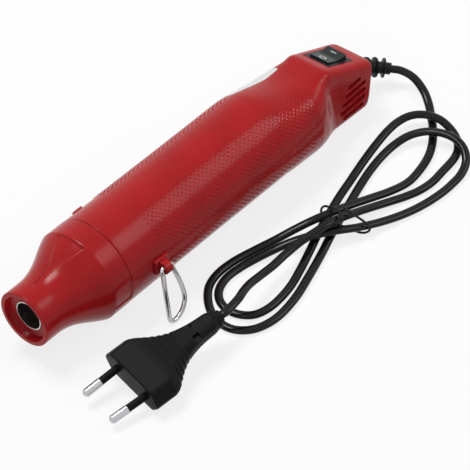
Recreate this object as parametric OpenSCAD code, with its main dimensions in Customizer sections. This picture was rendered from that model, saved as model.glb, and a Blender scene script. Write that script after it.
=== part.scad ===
// Embossing heat tool: a slim hand-held hot-air tool with a wire stand, a rocker switch and a tied mains lead.
// The barrel's axis is the X axis, the nozzle faces -X, and the tool lies on its barrel with Z up.

/* [Nozzle cap] */
// Radius of the plain rim at the mouth
rim_r = 13.8; // [12.5:0.1:14.6]
// Length of the plain rim
rim_len = 9; // [6:0.5:11]
// Radius of the rim's mouth
mouth_r = 11.5; // [10.5:0.1:12]
// Depth of the dish round the hot tube
dish_depth = 4; // [3.4:0.1:5.5]
// Station where the flare reaches the full barrel
flare_end = 34; // [30:0.5:37]
// Station of the cap's rear edge
cap_end = 44.4; // [43:0.2:47]
// Radius of the cap's collar
collar_r = 22.7; // [22.6:0.05:23.2]
// Wall of the cap
cap_wall = 2.3; // [1.8:0.1:2.8]
// Depth of the arrow panel on top of the flare
panel_depth = 0.8; // [0.3:0.1:1.2]
// Length of the spigot that enters the barrel
spigot_len = 6; // [4:0.5:8]

/* [Barrel] */
// Radius of the barrel at its front
barrel_r = 22.5; // [22.2:0.05:22.6]
// Radius of the barrel at the grip's waist
waist_r = 22.15; // [21.8:0.05:22.3]
// Bore radius of the barrel
barrel_bore = 20; // [19.6:0.05:20.3]
// Seam between the cap and the barrel
seam = 0.3; // [0.1:0.1:0.6]
// Roll of the tool about its axis as it lies
roll = 8; // [0:1:14]

/* [Tail] */
// Slope of the switch deck
deck_slope = 23.5; // [20:0.5:27]
// Station of the deck's front edge
deck_x = 186.5; // [185:0.5:189]
// Height of the deck's front edge over the axis
deck_z = 16.2; // [15.4:0.1:17]
// Length of the deck behind the switch opening
deck_rear = 9.6; // [9:0.2:11]
// Half width of the tail at its foot
tail_w = 15.2; // [14.6:0.1:16]
// Depth of the tail's underside below the axis
tail_drop = 16.9; // [16:0.1:18]
// Wall of the tail
tail_wall = 2.2; // [1.8:0.1:2.6]
// Number of cooling slots on each side
slot_count = 5; // [3:1:5]
// Width of a cooling slot
slot_w = 1.8; // [1.2:0.1:2.2]
// Pitch of the cooling slots
slot_pitch = 3.3; // [3:0.1:3.5]

/* [Switch] */
// Length of the switch opening along the deck
opening_l = 16; // [15:0.2:17]
// Width of the switch opening across the deck
opening_w = 14; // [13:0.2:15]
// Distance of the opening's centre from the deck's front edge
opening_at = 14.6; // [13.5:0.1:16]
// Depth of the switch case under the deck
case_depth = 10.5; // [9:0.5:11]
// Length of the rocker
rocker_l = 12.8; // [11.5:0.1:13.4]
// Width of the rocker
rocker_w = 11; // [9.5:0.1:11.4]
// Tilt of the rocker to either side of level
rocker_tilt = 9; // [6:0.5:10]

/* [Stand wire] */
// Diameter of the stand's steel wire
wire_d = 2.2; // [1.8:0.1:2.4]
// Station of the stand's pivot
pivot_x = 62.5; // [58:0.5:72]
// Distance of the pivot from the barrel's axis
pivot_r = 25.6; // [25.4:0.1:26.4]
// Angle of the pivot from the top, round the left side
pivot_angle = 94; // [90:1:100]
// Thickness of the lug that the wire passes through
lug_t = 3.6; // [3:0.1:4]
// Running clearance of the wire in its lug
pivot_clear = 0.07; // [0.03:0.01:0.1]
// Outward lean of the hanging loop
stand_lean = 22.3; // [18:0.1:26]

/* [Heater] */
// Outer radius of the hot tube at the outlet
outlet_r = 7.2; // [6.6:0.1:7.8]
// Outer radius of the heater shroud
shroud_r = 14.6; // [13.8:0.1:15.2]
// Wall of the spun steel tube
tube_wall = 0.5; // [0.4:0.05:0.6]
// Station of the hot tube's mouth
outlet_x = 3; // [2.4:0.1:3.2]
// Station of the shroud's rear edge
shroud_end = 96; // [92:1:98]
// Thickness of the mica
mica_t = 0.5; // [0.4:0.05:0.8]
// Half width of the crossed boards under the winding
board_w = 12; // [11:0.1:12.2]
// Turns of the heating coil
coil_turns = 12; // [6:1:16]
// Diameter of the coil's wire
coil_wire = 0.9; // [0.6:0.05:1]

/* [Motor and fan] */
// Radius of the motor can
motor_r = 10; // [9:0.1:10.4]
// Width of the motor can across its flats
motor_flat = 15.4; // [14:0.1:17]
// Length of the motor can
motor_len = 25; // [22:0.5:26]
// Station of the motor can's front face
motor_x = 116; // [115:0.5:118]
// Radius of the motor shaft
shaft_r = 1; // [0.8:0.05:1.2]
// Running clearance of the shaft in its bearings
shaft_clear = 0.05; // [0.02:0.01:0.1]
// Radius of the fan over its blades
fan_r = 18.4; // [16:0.1:18.8]
// Number of fan blades
blade_count = 5; // [3:1:7]
// Length of the fan's hub
hub_len = 9; // [7:0.5:10]

/* [Cord and plug] */
// Width of the flat twin cord
cord_w = 4; // [3.4:0.1:4.2]
// Thickness of the flat twin cord
cord_t = 3.2; // [2.8:0.1:3.4]
// Width of the plug's face
plug_w = 35.3; // [34:0.1:36]
// Thickness of the plug
plug_t = 13.7; // [13:0.1:14.4]
// Length of the plug with its neck
plug_len = 46.6; // [45:0.2:50]
// Roll of the plug as it lies
plug_roll = -7; // [-10:0.5:0]
// Rise of the plug's neck as it lies
plug_pitch = 7.7; // [0:0.1:9]
// Diameter of the plug's pins
pin_d = 4; // [3.9:0.02:4.1]
// Length of the pins
pin_len = 19; // [18.5:0.1:19.5]
// Spacing of the pins at the face
pin_gap = 18.6; // [18:0.1:19.2]
// Spacing of the pins at their tips
pin_tip_gap = 17.5; // [17:0.1:18]
// Length of the sleeve on each pin
sleeve_len = 10; // [8:0.5:11]
// Diameter of the tie's wire
tie_d = 1.1; // [0.8:0.1:1.2]

/* [Hidden] */

$fn = 96;
fit = 0.08;
eps = 0.01;
floor_z = -collar_r;

// A list of points along a cubic Bezier curve
function bezier(a, b, c, d, n) = [for (i = [0:n]) let (t = i / n, s = 1 - t)
    s * s * s * a + 3 * s * s * t * b + 3 * s * t * t * c + t * t * t * d];

// Turns a profile of [station, radius] pairs about the X axis
module turned(profile, angle = 360) {
    rotate([0, 90, 0])
        rotate_extrude(angle = angle)
            polygon([for (p = profile) [p[1], p[0]]]);
}

module tube_x(x0, x1, r_out, r_in) {
    turned([[x0, r_in], [x1, r_in], [x1, r_out], [x0, r_out]]);
}

module rod_x(x0, x1, r) {
    translate([x0, 0, 0])
        rotate([0, 90, 0])
            cylinder(h = x1 - x0, r = r);
}

module rolled() {
    rotate([-roll, 0, 0])
        children();
}

// Places children on the switch deck: local X runs down the deck, local Z is square to it
module on_deck(along = 0, depth = 0) {
    translate([deck_x, 0, deck_z])
        rotate([0, deck_slope, 0])
            translate([along, 0, -depth])
                children();
}

// Smooth curve through hand-chosen points, with n steps between neighbours
function spline_point(p, q, r, s, t) = 0.5 * (2 * q + (r - p) * t + (2 * p - 5 * q + 4 * r - s) * t * t
    + (3 * q - p - 3 * r + s) * t * t * t);
function spline(pts, n) = let (m = len(pts) - 1) concat([for (i = [0:m - 1], k = [0:n - 1])
    spline_point(i > 0 ? pts[i - 1] : 2 * pts[0] - pts[1], pts[i], pts[i + 1],
        i < m - 1 ? pts[i + 2] : 2 * pts[m] - pts[m - 1], k / n)], [pts[m]]);

function unit(v) = v / norm(v);
function heading(path, i) = unit(path[min(i + 1, len(path) - 1)] - path[max(i - 1, 0)]);

// Ring of a swept tube: half widths a across and b up, square to the path
function sweep_ring(path, i, a, b, sides, up) = let (
        dir = heading(path, i),
        side = unit(cross(up, dir)),
        lift = cross(dir, side))
    [for (k = [0:sides - 1]) path[i] + a * cos(360 * (k + 0.5) / sides) * side
        + b * sin(360 * (k + 0.5) / sides) * lift];

module swept(path, a, b, sides, up = [0, 0, 1], start = 0, end = -1) {
    stop = end < 0 ? len(path) - 1 : end;
    n = stop - start + 1;
    points = [for (i = [start:stop]) each sweep_ring(path, i, a, b, sides, up)];
    skin = [for (i = [0:n - 2], k = [0:sides - 1]) let (j = (k + 1) % sides)
        each [[i * sides + k, (i + 1) * sides + j, i * sides + j],
            [i * sides + k, (i + 1) * sides + k, (i + 1) * sides + j]]];
    first = [for (k = [1:sides - 2]) [0, k, k + 1]];
    last = [for (k = [1:sides - 2]) [(n - 1) * sides, (n - 1) * sides + k + 1, (n - 1) * sides + k]];
    polyhedron(points, concat(skin, first, last));
}

/* Nozzle cap */
flare = bezier([rim_len, rim_r], [rim_len + 11, rim_r + 0.2], [flare_end - 8, collar_r - 3.2],
    [flare_end, collar_r], 14);
inner_flare = bezier([dish_depth + 2.2, rim_r - cap_wall], [rim_len + 11, rim_r + 0.2 - cap_wall],
    [flare_end - 9, collar_r - 3.2 - cap_wall], [flare_end, collar_r - cap_wall], 10);
spigot_r = barrel_bore - fit;
spigot_bore = spigot_r - 2;

function cap_outline(grow) = concat([[0, rim_r - 0.5 + grow], [0.5, rim_r + grow]],
    [for (p = flare) [p[0], p[1] + grow]], [[cap_end - 0.3, collar_r + grow], [cap_end, collar_r - 0.3 + grow]]);

module cap_shell_zone(depth) {
    difference() {
        turned(concat([[0, 0]], cap_outline(2), [[cap_end, 0]]));
        turned(concat([[-1, 0], [-1, rim_r - depth]], cap_outline(-depth), [[cap_end + 1, collar_r - depth],
            [cap_end + 1, 0]]));
    }
}

module nozzle_cap() color([0.72, 0.05, 0.06]) rolled() {
    hole_r = outlet_r + fit;
    difference() {
        turned(concat(cap_outline(0), [[cap_end, spigot_r], [cap_end + spigot_len, spigot_r],
            [cap_end + spigot_len, spigot_bore], [cap_end - 4, spigot_bore], [cap_end - 6, collar_r - cap_wall]],
            [for (i = [len(inner_flare) - 1:-1:0]) inner_flare[i]],
            [[dish_depth + 2.2, hole_r], [dish_depth, hole_r], [dish_depth - 0.7, mouth_r - 0.8], [0.4, mouth_r],
            [0, mouth_r + 0.3]]));
        intersection() {
            cap_shell_zone(panel_depth);
            linear_extrude(height = 40)
                polygon([[7, 0], [flare_end - 13.5, 2.7], [flare_end - 3.5, 7.1], [flare_end - 0.5, 8.4],
                    [flare_end - 0.5, -8.4], [flare_end - 3.5, -7.1], [flare_end - 13.5, -2.7]]);
        }
        for (side = [0, 1])
            mirror([0, side, 0])
                rotate([87, 0, 0])
                    rotate([0, 90, 0])
                        rotate_extrude(angle = 25)
                            translate([collar_r - 0.5, 0])
                                translate([0, flare_end])
                                    square([3, cap_end - flare_end + 1]);
    }
}

/* Body: round barrel in front, tail box behind */
deck_len = opening_at + opening_l / 2 + deck_rear;
tail_end = deck_x + deck_len * cos(deck_slope);
function deck_top(x) = deck_z - (x - deck_x) * tan(deck_slope);

// Stations of the tail: [x, half width, top, foot, centre height, upper squareness, lower squareness, shear]
tail_stations = [
    [140, waist_r - 0.15, waist_r - 0.15, 0.15 - waist_r, 0, 2, 2, 0],
    [148, waist_r - 0.15, 21.8, 0.15 - waist_r, 0, 2, 2, 0],
    [154, 21.9, 20.5, -22.3, 0, 2.05, 2.1, 0],
    [160, 21.5, 18.7, -22.4, 0, 2.1, 2.2, 0],
    [166, 20.9, 17.1, -22.4, 0, 2.2, 2.35, 0],
    [172, 20.3, 16.1, -22.4, 0, 2.4, 2.5, 0],
    [176, 19.6, 15.8, -22.2, 0, 2.7, 2.6, 0],
    [178.4, 18.4, 15.8, -21, 0, 3, 2.8, 0],
    [180, 17, 15.9, -19, 0, 3.5, 3.2, 0],
    [182.5, 15.8, 16, -17.4, -0.5, 4.5, 4.2, 0],
    [deck_x - 0.6, tail_w, deck_z, -tail_drop, -1, 7, 6, 0],
    [deck_x + 5, tail_w, deck_top(deck_x + 5), -tail_drop, -2, 8, 7, 0.15],
    [deck_x + 13, tail_w, deck_top(deck_x + 13), -tail_drop, -3.5, 8, 7, 0.45],
    [deck_x + 21, tail_w, deck_top(deck_x + 21), -tail_drop, -5, 8, 7, 0.8],
    [tail_end - 1.6, tail_w - 0.1, deck_top(tail_end - 1.6), -tail_drop, -6.5, 8, 7, 1],
    [tail_end - 0.5, tail_w - 0.5, deck_top(tail_end - 0.5) - 0.3, -tail_drop + 0.5, -6.5, 7, 6, 1],
    [tail_end, tail_w - 1.4, deck_top(tail_end) - 1.1, -tail_drop + 1.4, -6.5, 6, 5, 1]];
tail_draft = 0.17;
tail_sides = 48;

// Radius of a rounded-square outline at an angle
function square_r(w, h, n, a) = pow(pow(abs(cos(a)) / w, n) + pow(abs(sin(a)) / h, n), -1 / n);

// Outline of the tail at a station, with its wall taken off by inset
function tail_ring(s, inset) = let (w = s[1] - inset, top = s[2] - inset, foot = s[3] + inset, mid = s[4])
    [for (k = [0:tail_sides - 1]) let (
        a = 360 * k / tail_sides,
        r = a < 180 ? square_r(w, top - mid, s[5], a) : square_r(w, mid - foot, s[6], a),
        z = mid + r * sin(a),
        lean = min(1, max(0, s[0] - 172) / 12) * tail_draft * (z - foot) / (top - foot))
        [s[0] + s[7] * (z - deck_top(s[0])) * tan(deck_slope), r * cos(a) * (1 - lean), z]];

// Skin through rings of equal count, closed at both ends round the two centres
module lofted(rings, centres) {
    n = len(rings);
    m = len(rings[0]);
    skin = [for (i = [0:n - 2], k = [0:m - 1]) let (j = (k + 1) % m)
        each [[i * m + k, (i + 1) * m + j, i * m + j], [i * m + k, (i + 1) * m + k, (i + 1) * m + j]]];
    first = [for (k = [0:m - 1]) [n * m, k, (k + 1) % m]];
    last = [for (k = [0:m - 1]) [n * m + 1, (n - 1) * m + (k + 1) % m, (n - 1) * m + k]];
    polyhedron(concat([for (ring = rings) each ring], centres), concat(skin, first, last));
}

module tail_loft(stations, inset) {
    m = tail_sides;
    rings = [for (s = stations) tail_ring(s, inset)];
    lofted(rings, [for (ring = [rings[0], rings[len(rings) - 1]])
        [(ring[m / 4][0] + ring[3 * m / 4][0]) / 2, 0, (ring[m / 4][2] + ring[3 * m / 4][2]) / 2]]);
}

// The cavity follows the same stations inside the wall, and ends square to the deck
rear_in = tail_end - tail_wall * cos(deck_slope);
cavity_stations = concat([for (i = [0:len(tail_stations) - 5]) tail_stations[i]],
    [[rear_in, tail_w, deck_top(rear_in), -tail_drop, -6, 8, 7, 1]]);

module cooling_slots() {
    starts = [11.1, 8.3, 5.5, 3.5, 4.9];
    ends = [18.5, 21.1, 20.1, 18.9, 17.1];
    for (i = [0:slot_count - 1])
        translate([deck_x, 25, 0.8 - i * slot_pitch])
            rotate([90, 0, 0])
                linear_extrude(height = 50)
                    union() {
                        translate([starts[i], -slot_w / 2])
                            square([ends[i] - starts[i], slot_w]);
                        for (x = [starts[i], ends[i]])
                            translate([x, 0])
                                circle(d = slot_w, $fn = 24);
                    }
}

hole_r = wire_d / 2 + pivot_clear;
module stand_boss() {
    translate([pivot_x, 0, 0])
        rotate([pivot_angle, 0, 0]) {
            translate([-4, -3.8, barrel_bore + 1])
                cube([8, 7.6, pivot_r - barrel_bore - 3]);
            translate([-lug_t / 2, 0, pivot_r])
                rotate([0, 90, 0])
                    cylinder(h = lug_t, r = 3);
            translate([-lug_t / 2, -3, barrel_bore + 1])
                cube([lug_t, 6, pivot_r - barrel_bore - 1]);
        }
}

relief_depth = 10;
grommet_r = 3.5;
clamp_at = [opening_at + opening_l / 2 + 3, relief_depth + 0.2];
module body() color([0.72, 0.05, 0.06]) rolled() {
    difference() {
        union() {
            turned([[cap_end + seam, 0], [cap_end + seam, barrel_r - 0.3], [cap_end + seam + 0.3, barrel_r],
                [75, barrel_r - 0.15], [110, waist_r + 0.03], [146, waist_r + 0.03], [146, 0]]);
            tail_loft(tail_stations, 0);
            stand_boss();
            rotate([-50, 0, 0])
                translate([51, -3, barrel_r - 1])
                    rotate([0, -3, 0])
                        cube([6, 6, 1.6]);
        }
        rod_x(cap_end, 142, barrel_bore);
        tail_loft(cavity_stations, tail_wall);
        cooling_slots();
        translate([pivot_x - 5, 0, 0])
            rotate([pivot_angle, 0, 0])
                translate([0, 0, pivot_r])
                    rotate([0, 90, 0])
                        cylinder(h = 10, r = hole_r);
        on_deck(opening_at)
            translate([-opening_l / 2, -opening_w / 2, -6])
                cube([opening_l, opening_w, 8]);
        on_deck(opening_at)
            translate([-opening_l / 2 - 0.8, -opening_w / 2 - 0.8, -0.8])
                cube([opening_l + 1.6, opening_w + 1.6, 3]);
        on_deck(deck_len - 8, relief_depth)
            rod_x(0, 12, grommet_r + fit);
    }
    // Seat for the cord clamp, rising from the tail's floor
    on_deck(clamp_at[0], clamp_at[1])
        difference() {
            translate([-2.2, -7.6, -13.3])
                cube([4.4, 15.2, 11.85]);
            for (side = [-1, 1])
                translate([0, side * 5.6, -8])
                    cylinder(h = 10, r = 1.05, $fn = 32);
        }
}

/* Heater */
cone_start = 22;
cone_end = 36;
module outlet_tube() color([0.75, 0.75, 0.77]) rolled() {
    turned([[outlet_x, outlet_r - tube_wall], [outlet_x, outlet_r], [cone_start, outlet_r],
        [cone_end, shroud_r], [shroud_end, shroud_r], [shroud_end, shroud_r - tube_wall],
        [cone_end + 0.3, shroud_r - tube_wall], [cone_start + 0.3, outlet_r - tube_wall]]);
}

sleeve_r = shroud_r - tube_wall - fit;
module mica_sleeve() color([0.80, 0.72, 0.52]) rolled()
    tube_x(cone_end + 1, shroud_end - 1, sleeve_r, sleeve_r - mica_t);

board_end = shroud_end - 2;
module heater_former() color([0.78, 0.70, 0.50]) rolled()
    for (a = [45, 135])
        rotate([a, 0, 0]) {
            translate([cone_end + 3, -board_w, -mica_t])
                cube([board_end - 10 - cone_end - 3, 2 * board_w, 2 * mica_t]);
            translate([board_end - 10, -(sleeve_r - mica_t - fit), -mica_t])
                cube([10, 2 * (sleeve_r - mica_t - fit), 2 * mica_t]);
        }

coil_r = board_w + coil_wire / 2 + 0.1;
coil_start = cone_end + 8;
coil_end = board_end - 14;
coil_path = [for (i = [0:coil_turns * 16]) let (a = i * 22.5)
    [coil_start + (coil_end - coil_start) * i / (coil_turns * 16), coil_r * cos(a), coil_r * sin(a)]];
module heater_coil() color([0.55, 0.50, 0.45]) rolled()
    swept(coil_path, coil_wire / 2, coil_wire / 2, 6, [1, 0, 0]);

module thermal_cutout() color([0.85, 0.85, 0.82]) rolled()
    rotate([45, 0, 0])
        translate([board_end - 9, 2, mica_t + 0.02])
            cube([8, 4, 3]);

holder_x = shroud_end - 6;
module heater_holder() color([0.15, 0.14, 0.13]) rolled() {
    tube_x(holder_x, shroud_end + 2, shroud_r + fit + 1.4, shroud_r + fit);
    tube_x(shroud_end + 0.1, shroud_end + 2, shroud_r + fit + 1.4, shroud_r - 1);
    tube_x(holder_x, holder_x + 4, barrel_bore - fit, barrel_bore - fit - 1.4);
    for (a = [0:60:359])
        rotate([a, 0, 0])
            translate([holder_x, -0.8, shroud_r + fit + 0.7])
                cube([4, 1.6, barrel_bore - fit - 1 - shroud_r - fit - 0.7]);
}

/* Motor and fan */
fan_x = 103.5;
module fan() color([0.20, 0.20, 0.22]) rolled()
    difference() {
        union() {
            rod_x(fan_x, fan_x + hub_len, 5);
            intersection() {
                for (i = [0:blade_count - 1])
                    rotate([i * 360 / blade_count, 0, 0])
                        translate([fan_x + hub_len / 2, 0, 4])
                            rotate([0, 0, 38])
                                translate([-6, -0.5, 0])
                                    cube([12, 1, fan_r]);
                tube_x(fan_x + 0.3, fan_x + hub_len - 0.3, fan_r, 3);
            }
        }
        rod_x(fan_x - 1, fan_x + hub_len + 1, shaft_r);
    }

module motor_shaft() color([0.8, 0.8, 0.82]) rolled()
    rod_x(fan_x - 0.6, motor_x + motor_len + 2, shaft_r);

mount_ring = 12;
module motor_mount() color([0.93, 0.92, 0.88]) rolled() {
    difference() {
        union() {
            tube_x(motor_x - 1, motor_x + mount_ring, barrel_bore - fit, barrel_bore - fit - 1.4);
            rod_x(motor_x - 1.6, motor_x + mount_ring, motor_r + 1.3);
            for (a = [30:60:359])
                rotate([a, 0, 0])
                    translate([motor_x, -0.7, motor_r])
                        cube([mount_ring - 1, 1.4, barrel_bore - fit - 1 - motor_r]);
        }
        intersection() {
            rod_x(motor_x, motor_x + mount_ring + 1, motor_r + fit);
            translate([motor_x, -motor_r - 1, -motor_flat / 2 - fit])
                cube([mount_ring + 1, 2 * motor_r + 2, motor_flat + 2 * fit]);
        }
        rod_x(motor_x - 2, motor_x + 1, 3.2);
    }
}

module motor_can() color([0.72, 0.72, 0.74]) rolled()
    difference() {
        union() {
            intersection() {
                rod_x(motor_x, motor_x + motor_len, motor_r);
                translate([motor_x, -motor_r, -motor_flat / 2])
                    cube([motor_len, 2 * motor_r, motor_flat]);
            }
            rod_x(motor_x - 1.5, motor_x + 1, 3);
        }
        rod_x(motor_x - 2, motor_x + motor_len + 1, shaft_r + shaft_clear);
    }

module motor_end_cap() color([0.90, 0.89, 0.85]) rolled()
    difference() {
        union() {
            intersection() {
                rod_x(motor_x + motor_len, motor_x + motor_len + 2.4, motor_r - 0.4);
                translate([motor_x, -motor_r, -motor_flat / 2 + 0.4])
                    cube([motor_len + 4, 2 * motor_r, motor_flat - 0.8]);
            }
            for (side = [-1, 1])
                translate([motor_x + motor_len, side * 6.5 - 0.4, -1.2])
                    cube([5, 0.8, 2.4]);
        }
        rod_x(motor_x, motor_x + motor_len + 3, shaft_r + shaft_clear);
    }

board_x = motor_x + motor_len + 5;
module rectifier_board() color([0.75, 0.62, 0.30]) rolled()
    rod_x(board_x, board_x + 1.6, 9.5);

diode_r = 1.35;
module rectifier_diodes() color([0.12, 0.12, 0.12]) rolled()
    for (y = [-5.4, -1.8, 1.8, 5.4])
        translate([board_x + 1.6 + diode_r + 0.02, y, -2.6])
            cylinder(h = 5.2, r = diode_r, $fn = 32);

/* Switch */
module switch_case() color([0.10, 0.10, 0.11]) rolled()
    on_deck(opening_at)
        difference() {
            union() {
                translate([-opening_l / 2 - 0.6, -opening_w / 2 - 0.6, -0.75])
                    cube([opening_l + 1.2, opening_w + 1.2, 0.9]);
                translate([-opening_l / 2 + 0.15, -opening_w / 2 + 0.15, -6.8])
                    cube([opening_l - 0.3, opening_w - 0.3, 6.8]);
                translate([-6, -opening_w / 2 + 0.15, -case_depth])
                    cube([12, opening_w - 0.3, case_depth]);
            }
            translate([-rocker_l / 2 - 0.4, -rocker_w / 2 - 0.2, -6.2])
                cube([rocker_l + 0.8, rocker_w + 0.4, 8]);
            translate([0, -rocker_w / 2 - 1, -2.2])
                rotate([-90, 0, 0])
                    cylinder(h = rocker_w + 2, r = 0.8 + shaft_clear, $fn = 32);
        }

module rocker() color([0.06, 0.07, 0.07]) rolled()
    on_deck(opening_at)
        translate([0, 0, -2.2]) {
            rotate([90, 0, 0])
                cylinder(h = rocker_w + 1.6, r = 0.8, center = true, $fn = 32);
            rotate([0, -rocker_tilt, 0])
                rotate([90, 0, 0])
                    linear_extrude(height = rocker_w, center = true)
                        polygon([[-rocker_l / 2, 0.6], [-rocker_l / 2 + 0.3, 4.3], [-0.6, 3.2], [0.6, 3.2],
                            [rocker_l / 2 - 0.3, 4.3], [rocker_l / 2, 0.6], [3, -1.4], [-3, -1.4]]);
        }

module switch_terminals() color([0.80, 0.68, 0.35]) rolled()
    on_deck(opening_at)
        for (x = [-4, 4])
            translate([x - 0.4, -2, -case_depth - 5])
                cube([0.8, 4, 5]);

/* Wiring in the tail */
module cord_clamp() color([0.90, 0.89, 0.85]) rolled()
    on_deck(clamp_at[0], clamp_at[1])
        difference() {
            translate([-2.2, -7.6, 1.85])
                cube([4.4, 15.2, 2]);
            for (side = [-1, 1])
                translate([0, side * 5.6, 0])
                    cylinder(h = 6, r = 1.3, $fn = 32);
        }

module clamp_screws() color([0.75, 0.75, 0.77]) rolled()
    on_deck(clamp_at[0], clamp_at[1])
        for (side = [-1, 1])
            translate([0, side * 5.6, 0]) {
                translate([0, 0, -7])
                    cylinder(h = 10.87, r = 1.02, $fn = 32);
                translate([0, 0, 3.87])
                    cylinder(h = 1.4, r = 2, $fn = 32);
            }

module cord_entry() color([0.08, 0.08, 0.08]) rolled()
    on_deck(clamp_at[0], relief_depth)
        intersection() {
            rod_x(-2.9, deck_len - 3.5 - clamp_at[0], cord_w / 2);
            translate([-3, -cord_w / 2, -cord_t / 2])
                cube([10, cord_w, cord_t - 0.02]);
        }

lead_r = 0.65;
function deck_point(along, y, depth) = [deck_x + along * cos(deck_slope) - depth * sin(deck_slope), y,
    deck_z - along * sin(deck_slope) - depth * cos(deck_slope)];
core_x = clamp_at[0] - 3.7;
live_core = [deck_point(core_x + 0.6, 1, relief_depth), deck_point(core_x, 1.05, relief_depth + 0.1),
    deck_point(core_x - 0.5, 1.1, case_depth + 2.6), deck_point(opening_at + 4.8, 0.8, case_depth + 3.4)];
neutral_core = [deck_point(core_x + 0.6, -1, relief_depth), deck_point(core_x, -1.1, relief_depth + 0.1),
    deck_point(core_x - 0.4, -1.5, relief_depth + 3), deck_point(core_x - 2, -2.2, case_depth + 6),
    deck_point(opening_at - 4, -3.6, case_depth + 7), [board_x + 30, -5.4, 0], [board_x + 16, -5.6, 5],
    [board_x + 8, -5, 7], [board_x + 1.7, -4.4, 7]];
switched_core = [deck_point(opening_at - 4.6, 0, case_depth + 3.4), deck_point(opening_at - 8, 1, case_depth + 3.2),
    [board_x + 28, 4, 4.4], [board_x + 16, 5.6, 6], [board_x + 8, 5, 7], [board_x + 1.7, 4.4, 7]];
module inner_leads() color([0.75, 0.12, 0.10]) rolled()
    for (core = [live_core, neutral_core, switched_core])
        swept(spline(core, 3), lead_r, lead_r, 6, [0, 1, 0.2]);

/* Strain relief: grommet in the rear wall, then a ribbed neck that bends with the cord */
relief_straight = 6;
relief_bend_r = 20;
relief_turn = 50;
module relief_frame() {
    on_deck(deck_len, relief_depth)
        children();
}

module relief_fin(r) {
    rotate([0, 90, 0])
        cylinder(h = 1, r = r, center = true, $fn = 40);
}

module strain_relief() color([0.07, 0.07, 0.07]) rolled()
    relief_frame() {
        rod_x(-3.4, relief_straight, grommet_r - 0.2);
        rod_x(-3.4, -2.4, grommet_r + 2);
        rod_x(0.1, 1.3, grommet_r + 1.6);
        translate([relief_straight, -relief_bend_r, 0])
            rotate([0, 0, 90 - relief_turn])
                rotate_extrude(angle = relief_turn)
                    translate([relief_bend_r, 0])
                        circle(r = grommet_r - 0.5, $fn = 32);
        for (i = [0:3])
            translate([relief_straight, -relief_bend_r, 0])
                rotate([0, 0, -4 - i * 12])
                    translate([0, relief_bend_r, 0])
                        relief_fin(4.8 - i * 0.25);
    }

/* Stand wire, in its own plane: U along the barrel, V away from the pivot */
loop_half = lug_t / 2 + wire_d / 2 + 0.2;
loop_points = [[-loop_half, 0, 0], [-loop_half, 0, 3], [-5, 0, 11], [-6.6, 0, 19], [-7.3, 0, 22.6],
    [-6.9, 0, 24.2], [-5.2, 0, 25], [-2.8, 0, 24.8], [0, 0, 23.6], [2.6, 0, 21.2], [4.1, 0, 18], [4.5, 0, 14],
    [4.2, 0, 9], [3.4, 0, 4], [loop_half, 0, 0]];
module stand_wire() color([0.78, 0.78, 0.80]) rolled()
    translate([pivot_x, -pivot_r * sin(pivot_angle), pivot_r * cos(pivot_angle)])
        rotate([roll - stand_lean, 0, 0])
            rotate([180, 0, 0])
                union() {
                    rod_x(-loop_half - wire_d / 2, loop_half + wire_d / 2, wire_d / 2);
                    swept(spline(loop_points, 3), wire_d / 2, wire_d / 2, 10, [0, 1, 0]);
                }

/* Cord: a flat twin lead, from the strain relief through a tied hank to the plug */
low = floor_z + cord_t / 2 + 0.1;
lead_points = [[236.4, -18.8, -15.9], [235.2, -25.8, -18.5], [231.7, -32, -20.4], [227, -37.4, low],
    [222, -42.7, low], [215, -48.5, low], [207, -53, low], [197.5, -55.8, low], [188, -56.8, low],
    [177.7, -55.4, -19.6], [166.9, -52.6, -17.8], [156.8, -49.8, -16.2]];
hank_points = [[147.2, -47, -15.4], [138.2, -43.6, -16], [130, -40, -18], [120.9, -36.6, -20],
    [111, -33.4, low], [100.5, -31.2, low], [90.5, -30.8, low], [82, -33, low], [75.4, -38.2, low],
    [70.8, -44.8, low], [69, -52, low], [70.8, -59.2, low], [77.2, -65, low], [88, -67.4, low],
    [101.5, -65.8, low], [115, -61.8, low], [128.5, -57.2, low], [139.4, -53.4, -20], [149.6, -50, -19.5],
    [159.9, -46.6, -20], [170.5, -42.8, low], [181, -39.8, low], [190.8, -38.1, -20.5], [200, -37.9, -19.6],
    [208, -39.8, -18.2], [214.2, -44.2, -17], [217.9, -50.2, -16.3], [219.6, -56.8, -16.4],
    [218.7, -63.2, -17.5], [214.8, -68.4, -19.4], [208.4, -71.2, -20.8], [200.6, -72.2, low], [192, -72.2, low],
    [181.5, -70.8, low], [170.8, -68.2, -20.5], [159.9, -64.6, -19.2], [149.6, -60.4, -17.4],
    [140.5, -55.4, -15.9], [132, -50, -15.9], [124.2, -44.8, -17.4], [116.5, -40.8, -19.3],
    [108.3, -37.8, -20.5], [99.5, -35.8, low], [91, -35.4, low], [83.7, -37.5, low], [78.8, -42, low],
    [77, -48.3, low], [78.7, -54.7, low], [83.6, -59.5, low], [92.5, -61.2, low], [104.5, -59.8, low],
    [116, -56.2, low], [127.6, -51.9, -20.4], [138.2, -47.9, -19.6], [149.1, -44.2, -19.5],
    [160.7, -40.2, -20.3], [172, -36.9, low], [183.7, -34, -20.4], [194.7, -31.8, -19.6],
    [204.2, -30.8, -18.2], [211.6, -31.2, -17.2], [217.8, -33.4, -16.6], [222.4, -37.8, -16.6],
    [224.9, -43.8, -17.2], [225.2, -49.4, -18.8], [223.6, -55, -20.2], [219.6, -59.7, -20.9],
    [213.4, -62.6, low], [203.2, -64, low], [195.6, -64.8, low], [188, -64, low], [181, -61.8, low],
    [173.4, -59, -20.4], [165, -56.6, -18.8]];
tail_points = [[156, -54.8, -16.4], [147, -53.7, -13.6], [139.2, -52.8, -11.6], [131.8, -51.6, -12.1],
    [123.5, -49.8, -13.4], [114.5, -49.2, -14.4], [105, -49.9, -14.1], [96, -50.6, -12.6], [87.8, -51.7, -10.6],
    [81.6, -53.7, -8.5], [75.2, -56, -7.1]];

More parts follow.
